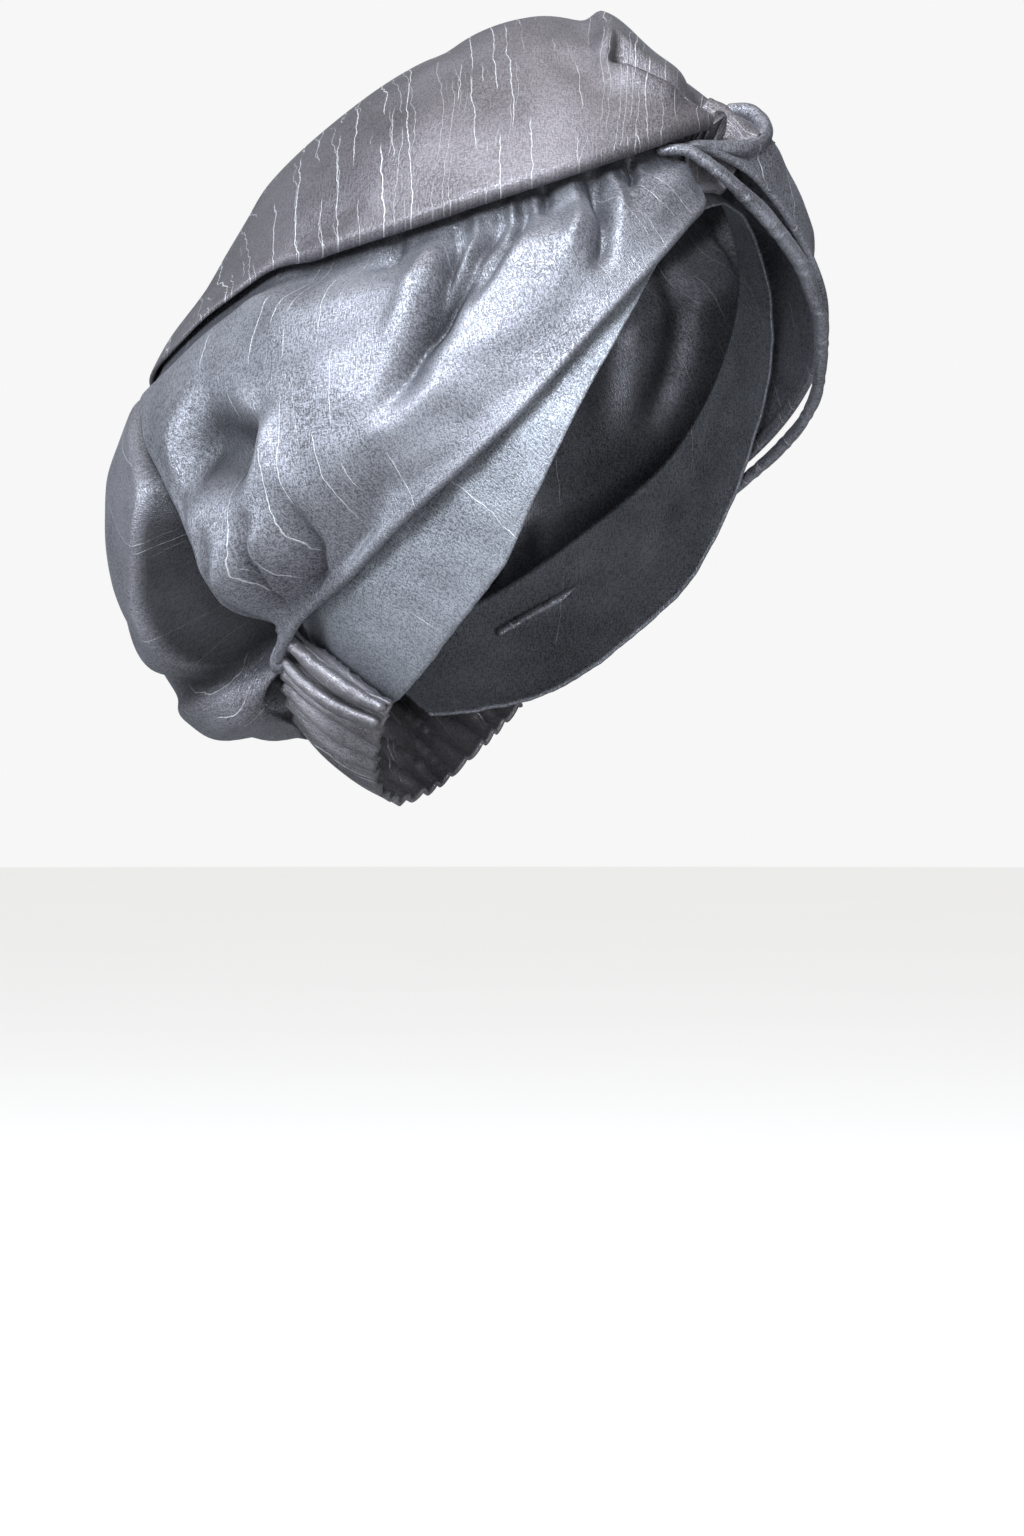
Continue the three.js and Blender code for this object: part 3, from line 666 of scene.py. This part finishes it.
def nape_casing():
    s = np.linspace(0.0, 1.0, 337)[:, None]
    t = np.linspace(0.0, 1.0, 34)[None]
    half = 1.0 - np.abs(2.0 * s - 1.0)
    row = {name: along(CASING, "at", name, half) for name in CASING}
    az = mix(row["seam_az"], row["free_az"], t)
    el = mix(row["seam_el"], row["free_el"], t)
    lift = mix(row["seam_lift"], row["free_lift"], t)
    wander = 0.007 * np.sin(5.0 * t + 31.0 * s)
    phase = RIDGES * (s + wander)
    ridge = 2.0 * np.abs(np.cos(np.pi * phase)) ** 0.7 - 1.3
    height = RIDGE_HEIGHT + 0.7 * np.sin(5.1 * np.round(phase) + 1.0)
    ends = np.sin(np.pi * np.clip(t, 0.12, 0.9)) ** 0.7
    lift = lift + ridge * height * ends
    az = np.where(s > 0.5, 360.0 - az, az)
    grid = place(az, el, lift)
    return cloth_wall("nape_casing_cloth", grid, threads_of(grid, 0.2), CASING_WALL)


casing = nape_casing()

# %% [markdown]
# The band round the hairline is a flat strip with a raw edge. It lies close to the head, so it
# only needs a slight waviness to look like cloth and not like card.

# %% The band at the hairline
BAND_LIFT = 3.0
BAND_WALL = 0.9
BAND = table(
    "az rim_el top_el",
    (0, 36, 44),
    (20, 32, 40),
    (31, 26, 36),
    (55, 4, 22),
    (76, -18, 8),
    (90, -30, 0),
    (117, -39, -9),
    (137, -41, -14),
    (150, -40, -15),
    (168, -38, -17),
)


def head_band():
    az = np.linspace(-168.0, 168.0, 300)[:, None]
    t = np.linspace(0.0, 1.0, 30)[None]
    top = along(BAND, "az", "top_el", np.abs(az))
    rim = along(BAND, "az", "rim_el", np.abs(az))
    rim = rim + 0.1 * np.sin(az * 1.3) * np.sin(az * 0.47 + 1.0)
    el = mix(top, rim, t)
    az = az + 0.0 * el
    stand = smooth((np.abs(az) - 95.0) / 45.0)
    lift = BAND_LIFT + stand * mix(8.5, 3.4, t)
    lift = lift + 0.35 * crumple(az * 1.5, el * ARC, 24.0, 2.6) * smooth(t * 3.0)
    grid = place(az, el, lift)
    return cloth_wall("hairline_band", grid, threads_of(grid, 0.5), BAND_WALL)


band = head_band()

# %% [markdown]
# A rolled edge is a strip turned in on itself. It is swept along a smooth path with a radius of
# its own at each point, and twisted wrinkles are pressed into it. The same sweep makes the thin
# roll under the left wrap, the loop round the end of the drape's roll, and the two small folds
# at the top of the casing.

# %% Rolled edges
def smooth_path(knots, count):
    """Points on a curve through the knots, evenly spaced along it."""
    knots = np.asarray(knots, float)
    padded = np.concatenate([[2 * knots[0] - knots[1]], knots, [2 * knots[-1] - knots[-2]]])
    fine = []
    for k in range(len(knots) - 1):
        p = padded[k:k + 4]
        t = np.linspace(0.0, 1.0, 40, endpoint=False)[:, None]
        cubic = 2 * p[1] + (p[2] - p[0]) * t + (2 * p[0] - 5 * p[1] + 4 * p[2] - p[3]) * t ** 2
        fine.append(0.5 * (cubic + (3 * p[1] - p[0] - 3 * p[2] + p[3]) * t ** 3))
    fine = np.concatenate([*fine, knots[-1:]])
    run = np.concatenate([[0.0], np.cumsum(np.linalg.norm(np.diff(fine, axis=0), axis=1))])
    even = np.linspace(0.0, run[-1], count)
    return np.stack([np.interp(even, run, fine[:, k]) for k in range(fine.shape[1])], 1), even


def rolled_edge(name, rows, steps, wrinkle=0.25, pitch=5.0, sides=36):
    """A roll of cloth through places (az, el, lift) with a radius and a flatness at each."""
    rows = np.array(rows, float)
    knots = np.concatenate([place(rows[:, 0], rows[:, 1], rows[:, 2]), rows[:, 3:]], 1)
    path, run = smooth_path(knots, steps)
    centre, radius, flat = path[:, :3], path[:, 3:4], path[:, 4:5]
    ahead = unit(np.gradient(centre, axis=0))
    out = unit(centre)
    out = unit(out - (out * ahead).sum(-1, keepdims=True) * ahead)
    beside = np.cross(ahead, out)
    turn = np.linspace(0.0, 2 * np.pi, sides, endpoint=False)[None]
    along_roll = run[:, None]
    waves = np.sin(2 * np.pi * along_roll / pitch + 1.5 * turn + np.sin(along_roll * 0.37) * 2.0)
    twist = np.sin(2 * turn + along_roll * 0.2)
    fullness = radius * (1.0 + wrinkle * 0.3 * waves + wrinkle * 0.2 * twist)
    closing = np.sqrt(np.clip(np.minimum(run, run[-1] - run)[:, None] / (0.8 * radius), 0.02, 1.0))
    fullness = fullness * closing
    rounds = centre[:, None] + (
        out[:, None] * (np.cos(turn) * fullness * flat)[..., None]
        + beside[:, None] * (np.sin(turn) * fullness)[..., None]
    )
    points = rounds.reshape(-1, 3)
    number = np.arange(steps * sides).reshape(steps, sides)
    after = np.roll(number, -1, 1)
    a, b, c, d = number[:-1], after[:-1], after[1:], number[1:]
    quads = np.stack([a, b, c, d], -1).reshape(-1, 4).tolist()
    caps = [number[0][::-1].tolist(), number[-1].tolist()]
    threads = np.stack([along_roll + 0 * turn, radius * turn + 0 * along_roll], -1).reshape(-1, 2)
    piece = make_mesh(name, points, quads + caps, threads)
    print(name, len(piece.data.polygons), "faces,", round(float(run[-1])), "mm long")
    return piece


thin_roll = rolled_edge("far_roll", [
    (24, 42.0, 14, 1.4, 1.0),
    (20, 39, 17.5, 1.8, 1.0),
    (17, 36.6, 17.0, 2.0, 1.0),
    (13.5, 33.8, 15.4, 2.3, 0.9),
    (9.5, 31.0, 13.2, 2.6, 0.9),
    (5, 28.0, 11.4, 2.8, 0.9),
    (1, 24.6, 9.8, 2.8, 0.9),
    (-4, 21.0, 8.4, 2.8, 0.9),
    (-9, 17.0, 7.0, 2.7, 0.9),
    (-15, 13.0, 5.4, 2.7, 0.9),
    (-21, 8.8, 4.6, 2.5, 0.9),
    (-40, -1, 4.8, 2.1, 0.9),
    (-62, -7, 7, 2.1, 0.9),
    (-90, -14, 7, 2.0, 0.9),
    (-116, -19, 7, 1.9, 0.9),
    (-138, -23, 8, 1.4, 0.8),
], 420, wrinkle=0.18, pitch=9.0)
loop = rolled_edge("hooked_loop", [
    (21, 41.8, 12.5, 1.7, 1.0),
    (15, 40.3, 16.5, 2.1, 0.9),
    (9.5, 38.8, 18.2, 2.4, 0.9),
    (4, 37.1, 20.8, 2.6, 1.0),
    (0, 36.8, 23.6, 2.8, 1.0),
    (-3.6, 38.0, 27.2, 3.0, 1.0),
    (-5.6, 40.4, 29.0, 3.0, 1.0),
    (-6.2, 42.8, 28.8, 2.8, 1.0),
    (-4.0, 45.4, 25.4, 2.0, 1.0),
], 170, wrinkle=0.1, pitch=9.0)
upper_fold = rolled_edge("casing_upper_fold", [
    (150.5, -15.5, 19, 1.5, 0.9),
    (148, -22, 18, 2.6, 0.9),
    (145, -31, 15.5, 2.9, 0.9),
    (141, -40, 12, 2.0, 0.9),
], 120, wrinkle=0.15, pitch=11.0)
lower_fold = rolled_edge("casing_lower_fold", [
    (153, -18.5, 22, 1.4, 0.9),
    (151.5, -25, 21.5, 2.4, 0.9),
    (148.5, -33, 19, 2.6, 0.9),
    (144.5, -40.5, 15, 1.8, 0.9),
], 120, wrinkle=0.15, pitch=13.0)


def loop_tuck():
    az = np.linspace(-9.0, 17.0, 60)[:, None]
    t = np.linspace(0.0, 1.0, 40)[None]
    el = mix(47.0, mix(37.0, 34.5, smooth((az - 2.0) / 6.0)), t)
    lift = mix(15.0, 8.0, smooth((41.0 - el) / 4.5))
    lift = mix(lift, 26.8, smooth((7.0 - az) / 7.0))
    lift = lift + 0.6 * crumple(az * 1.5 + 0 * el, el * ARC, 11.0, 0.4)
    grid = place(az + 0 * el, el, lift)
    return cloth_wall("loop_tuck_cloth", grid, threads_of(grid), 1.0)


tuck = loop_tuck()

# %% [markdown]
# Shader maths is easier to read as sums than as boxes and wires. A Wire stands for one socket,
# and Python's own operators add the Math nodes. A Finish is one material, and its node method
# adds any other kind of node: the settings go in first, then the values or wires of its sockets.

# %% Writing shaders as sums
class Wire:
    """A value that comes out of a node, on which sums can be done."""

    def __init__(self, finish, socket):
        self.finish = finish
        self.socket = socket

    def math(self, operation, *values):
        sockets = dict(enumerate(values))
        return self.finish.node("ShaderNodeMath", {"operation": operation}, sockets)

    def __add__(self, other):
        return self.math("ADD", self, other)

    def __radd__(self, other):
        return self.math("ADD", other, self)

    def __sub__(self, other):
        return self.math("SUBTRACT", self, other)

    def __rsub__(self, other):
        return self.math("SUBTRACT", other, self)

    def __mul__(self, other):
        return self.math("MULTIPLY", self, other)

    def __rmul__(self, other):
        return self.math("MULTIPLY", other, self)

    def __truediv__(self, other):
        return self.math("DIVIDE", self, other)

    def whole(self):
        return self.math("FLOOR", self)

    def part(self):
        return self.math("FRACT", self)

    def size(self):
        return self.math("ABSOLUTE", self)

    def between(self, low, high):
        """0 below low, 1 above high, and a soft step between them."""
        sockets = {0: self, 1: low, 2: high, 3: 0.0, 4: 1.0}
        return self.finish.node("ShaderNodeMapRange", {"interpolation_type": "SMOOTHSTEP"}, sockets)


class Finish:
    """One material, built up node by node."""

    def __init__(self, name, **constants):
        self.material = bpy.data.materials.new(name)
        self.material.use_nodes = True
        self.tree = self.material.node_tree
        self.shader = self.tree.nodes["Principled BSDF"]
        for socket, value in constants.items():
            self.shader.inputs[socket.replace("_", " ")].default_value = value

    def node(self, kind, settings=None, sockets=None, output=0):
        made = self.tree.nodes.new(kind)
        for name, value in (settings or {}).items():
            setattr(made, name, value)
        for key, value in (sockets or {}).items():
            if isinstance(value, Wire):
                self.tree.links.new(value.socket, made.inputs[key])
            else:
                made.inputs[key].default_value = value
        return Wire(self, made.outputs[output])

    def feed(self, socket, wire):
        self.tree.links.new(wire.socket, self.shader.inputs[socket])

    def blend(self, factor, first, second, kind="MIX"):
        """A mix of two colours."""
        settings = {"data_type": "RGBA", "blend_type": kind}
        return self.node("ShaderNodeMix", settings, {0: factor, 6: first, 7: second}, 2)

    def noise(self, place, scale, detail=2.0, roughness=0.5):
        sockets = {"Vector": place, "Scale": scale, "Detail": detail, "Roughness": roughness}
        return self.node("ShaderNodeTexNoise", None, sockets)

    def point(self, x, y, z=0.0):
        return self.node("ShaderNodeCombineXYZ", None, {0: x, 1: y, 2: z})


print("shader helpers ready")

# %% [markdown]
# The cloth is a slubbed satin. Seen close, it has a fine speckle where the threads catch the
# light, short dashes along the weave, and long pale slubs: thick places in the yarn, which run
# one way, wander a little, and break off. Lanes across the thread direction hold one slub each,
# and noise decides where in its lane a slub lies, how wide it is, and where it stops.

# %% The slubbed satin
def slub_lanes(finish, u, v, spacing, width, gap, seed):
    """Mask of pale slubs: 1 on a slub. u runs across the slubs and v along them, in metres."""
    slow = finish.noise(finish.point(u * 14.0, v * 9.0, seed), 1.0, 2.0)
    quick = finish.noise(finish.point(u * 60.0, v * 110.0, seed + 4.0), 1.0, 3.0)
    lane = (u + (slow - 0.5) * 0.02 + (quick - 0.5) * 0.003) / spacing
    number = lane.whole()
    dice = finish.node("ShaderNodeTexWhiteNoise", {"noise_dimensions": "1D"}, {"W": number + seed})
    second = finish.node(
        "ShaderNodeTexWhiteNoise", {"noise_dimensions": "1D"}, {"W": number + (seed + 31.7)})
    middle = dice * 0.5 + 0.25
    off = (lane.part() - middle).size() * spacing
    beads = finish.noise(finish.point(number * 3.1, v * 900.0, seed), 1.0, 2.0)
    thick = width * 0.3 + (beads - 0.3) * (width * 1.5)
    thread = 1.0 - (off / thick).between(0.35, 1.0)
    broken = finish.noise(finish.point(number * 7.3, v * 24.0, seed + 9.0), 1.0, 2.0)
    shown = (broken + (second - 0.5) * 0.35).between(gap, gap + 0.05)
    return thread * shown * (second * 0.5 + 0.5)


def slubbed_satin(name, deep, pale, slub_gap, slub_spacing, speckle, sheen=0.1, rough=0.45):
    finish = Finish(
        name,
        Metallic=0.62,
        Specular_IOR_Level=0.6,
        Specular_Tint=(0.88, 0.93, 1.0, 1.0),
        Sheen_Weight=sheen,
        Sheen_Roughness=0.35,
        Sheen_Tint=(0.82, 0.88, 1.0, 1.0),
    )
    threads = finish.node("ShaderNodeUVMap", {"uv_map": "threads"})
    u = finish.node("ShaderNodeSeparateXYZ", None, {0: threads}, 0)
    v = finish.node("ShaderNodeSeparateXYZ", None, {0: threads}, 1)
    spot = finish.node("ShaderNodeTexCoord", None, None, 3)
    grain = finish.noise(spot, 1700.0, 2.5, 0.75)
    dashes = finish.noise(finish.point(u * 1900.0, v * 420.0), 1.0, 2.0, 0.6)
    ribs = finish.noise(finish.point(u * 320.0, v * 2400.0), 1.0, 1.0, 0.5)
    clouds = finish.noise(spot, 26.0, 3.0, 0.55)
    weave = (grain * 0.55 + dashes * 0.3 + ribs * 0.15).between(0.40, 0.60)
    tone = weave * speckle + clouds.between(0.3, 0.7) * (1.0 - speckle)
    cloth = finish.blend(tone, (*deep, 1.0), (*pale, 1.0))
    long_slubs = slub_lanes(finish, u, v, slub_spacing, 0.00034, slub_gap, 3.0)
    short_slubs = slub_lanes(finish, u, v, slub_spacing * 0.45, 0.00024, slub_gap + 0.07, 17.0)
    slubs = long_slubs.math("MAXIMUM", long_slubs, short_slubs * 0.6)
    lit = finish.blend(slubs * 0.85, cloth, (0.80, 0.79, 0.80, 1.0))
    # Painted shade: the depth attribute blends the cloth towards near black in creases, slits and
    # under the drape's roll.
    depth = finish.node("ShaderNodeAttribute", {"attribute_name": "depth"}, None, 2)
    colour = finish.blend(depth * 0.82, lit, (0.012, 0.011, 0.012, 1.0))
    finish.feed("Base Color", colour)
    finish.feed("Roughness", rough - (weave - 0.5) * 0.2 + slubs * 0.15)
    relief = weave * 0.5 + slubs * 1.6 + dashes * 0.4
    bump = finish.node(
        "ShaderNodeBump", None, {"Strength": 0.5, "Distance": 0.0003, "Height": relief})
    finish.feed("Normal", bump)
    print(name, len(finish.tree.nodes), "nodes")
    return finish.material


# The five satins are lit and shaded copies of one cloth. The wraps and the band carry the pale blue
# silver of cloth that faces the lamps; the drape's darker mauve is painted shade and sheen of cloth
# that faces up, and the pouch's and casing's darker tones are painted shade of cloth that faces down
# and back.
shaded_drape_satin = slubbed_satin(
    "shaded_drape_satin", (0.075, 0.064, 0.068), (0.29, 0.265, 0.285), 0.515, 0.0042, 0.62)
wrap_satin = slubbed_satin(
    "wrap_satin", (0.075, 0.07, 0.078), (0.43, 0.43, 0.475), 0.60, 0.0075, 0.68)
shaded_pouch_satin = slubbed_satin(
    "shaded_pouch_satin", (0.07, 0.064, 0.07), (0.36, 0.35, 0.385), 0.62, 0.007, 0.6)
shaded_casing_satin = slubbed_satin(
    "shaded_casing_satin", (0.07, 0.062, 0.066), (0.36, 0.34, 0.36), 0.62, 0.006, 0.5, rough=0.36)
band_satin = slubbed_satin(
    "band_satin", (0.10, 0.10, 0.112), (0.46, 0.475, 0.52), 0.68, 0.007, 0.72)

# %% [markdown]
# Each piece stands for one measured piece, which it hides, and rides on the model's one body.
# The table of cuts lists each sheet with the size it was cut to. The rolled edges are folded out
# of their own wrap, so they are listed with it.

# %% Putting each piece on the frame
FINISHES = {
    "top_drape": (drape, shaded_drape_satin, "satin"),
    "right_wrap": (right_wrap, wrap_satin, "satin"),
    "left_wrap": (left_wrap, wrap_satin, "satin"),
    "back_pouch": (pouch, shaded_pouch_satin, "satin_shaded"),
    "nape_casing": (casing, shaded_casing_satin, "satin_shaded"),
    "head_band": (band, band_satin, "satin"),
    "left_roll": (thin_roll, wrap_satin, "satin"),
    "twist_loop": (loop, wrap_satin, "satin"),
    "loop_tuck": (tuck, shaded_drape_satin, "satin_shaded"),
}
body = sorted(frame["bodies"])[0]
for node, (piece, material, slot) in FINISHES.items():
    piece.data.materials.append(material)
    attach(piece, body)
    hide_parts(node)


def cloth_area(piece):
    """Area of one face of a closed cloth wall, in square metres."""
    return sum(polygon.area for polygon in piece.data.polygons) / 2


for piece in (upper_fold, lower_fold):
    piece.data.materials.append(shaded_casing_satin)
    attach(piece, body)

CUTS = {
    "crown_drape": (drape, (0.26, 0.22), 0.048, "draped", (right_wrap, left_wrap, pouch), ()),
    "near_wrap": (right_wrap, (0.21, 0.14), 0.025, "gathered", (band, casing), ()),
    "far_wrap": (left_wrap, (0.25, 0.14), 0.029, "gathered", (band, casing), (thin_roll, loop)),
    "back_pouch": (pouch, (0.27, 0.17), 0.040, "gathered", (casing,), ()),
    "nape_casing": (casing, (0.15, 0.06), 0.0088, "gathered", (), (upper_fold, lower_fold)),
    "hairline_band": (band, (0.50, 0.036), 0.0165, "stretched", (), ()),
    "loop_tuck": (tuck, (0.045, 0.032), 0.0013, "folded", (loop,), ()),
}
for name, (piece, flat, area, held, under, pieces) in CUTS.items():
    print(name, "one face", round(cloth_area(piece), 4), "of", area, "square metres as cut")

# %% [markdown]
# The cloth stands well above a pale floor, because the head that would carry it isn't part of
# it. The camera stands level with it at the front right, with a long lens.

# %% Floor, light and camera
FLOOR_Z = -0.334
bpy.ops.mesh.primitive_circle_add(vertices=96, radius=9.0, fill_type="NGON", location=(0, 0, FLOOR_Z))
floor = bpy.context.object
floor.name = "floor"
pale = Finish("floor_paint", Roughness=0.9, Emission_Color=(1.0, 1.0, 1.0, 1.0))
pale.shader.inputs["Emission Strength"].default_value = 0.42
mottle = pale.noise(pale.node("ShaderNodeTexCoord", None, None, 3), 3.0, 3.0)
pale.feed("Base Color", pale.blend(mottle, (0.86, 0.86, 0.86, 1.0), (0.9, 0.9, 0.9, 1.0)))
bounce = pale.node("ShaderNodeBsdfDiffuse", None, {"Color": (0.3, 0.3, 0.3, 1.0)})
straight = pale.node("ShaderNodeLightPath")
shown = pale.node("ShaderNodeMixShader", None, {
    0: straight, 1: bounce, 2: Wire(pale, pale.shader.outputs[0])})
pale.tree.links.new(shown.socket, pale.tree.nodes["Material Output"].inputs["Surface"])
floor.data.materials.append(pale.material)

world = bpy.data.worlds.new("studio")
world.use_nodes = True
sky = world.node_tree.nodes["Background"]
sky.inputs["Color"].default_value = (0.95, 0.97, 1.0, 1.0)
sky.inputs["Strength"].default_value = 0.15
paper = world.node_tree.nodes.new("ShaderNodeBackground")
paper.inputs["Color"].default_value = (1.0, 1.0, 1.0, 1.0)
paper.inputs["Strength"].default_value = 0.93
seen = world.node_tree.nodes.new("ShaderNodeLightPath")
choice = world.node_tree.nodes.new("ShaderNodeMixShader")
world.node_tree.links.new(seen.outputs["Is Camera Ray"], choice.inputs[0])
world.node_tree.links.new(sky.outputs[0], choice.inputs[1])
world.node_tree.links.new(paper.outputs[0], choice.inputs[2])
world.node_tree.links.new(choice.outputs[0], world.node_tree.nodes["World Output"].inputs["Surface"])
bpy.context.scene.world = world
bpy.context.scene.view_settings.view_transform = "Standard"


def facing_towards(way):
    """The turn that makes a lamp or camera look along this direction."""
    return Vector(way).to_track_quat("-Z", "Y").to_euler()


def soft_light(name, azimuth, elevation, distance, size, power, colour):
    """A square soft light that faces the middle of the cloth."""
    lamp = bpy.data.lights.new(name, "AREA")
    lamp.shape = "SQUARE"
    lamp.size = size
    lamp.energy = power
    lamp.color = colour
    a, e = math.radians(azimuth), math.radians(elevation)
    way = np.array([math.sin(a) * math.cos(e), -math.cos(a) * math.cos(e), math.sin(e)])
    holder = bpy.data.objects.new(name, lamp)
    holder.location = tuple(way * distance + np.array([0.0, 0.03, 0.02]))
    holder.rotation_euler = facing_towards(-way)
    bpy.context.collection.objects.link(holder)
    return holder


soft_light("key", -86, 36, 1.3, 0.7, 30, (0.84, 0.92, 1.0))
soft_light("front", -38, -4, 1.5, 0.5, 7, (0.90, 0.95, 1.0))
soft_light("low_back", -132, 8, 1.5, 0.45, 10, (0.84, 0.92, 1.0))
sun = bpy.data.lights.new("overhead", "SUN")
sun.energy = 1.1
sun.angle = math.radians(60.0)
sun.color = (1.0, 0.97, 0.94)
overhead = bpy.data.objects.new("overhead", sun)
bpy.context.collection.objects.link(overhead)

CAMERA_DISTANCE = 1.4
CAMERA_AZIMUTH = -65.0
camera_data = bpy.data.cameras.new("camera")
camera_data.sensor_width = 36.0
camera_data.lens = 102.54
camera = bpy.data.objects.new("camera", camera_data)
bpy.context.collection.objects.link(camera)
azimuth = math.radians(CAMERA_AZIMUTH)
back = np.array([math.sin(azimuth), -math.cos(azimuth), 0.0])
aside = np.array([math.cos(azimuth), math.sin(azimuth), 0.0])
aim = -0.01536 * aside - 0.09952 * np.array([0.0, 0.0, 1.0])
camera.location = tuple(aim + CAMERA_DISTANCE * back)
camera.rotation_euler = facing_towards(-back)
camera_data.clip_start = 0.05
bpy.context.scene.camera = camera
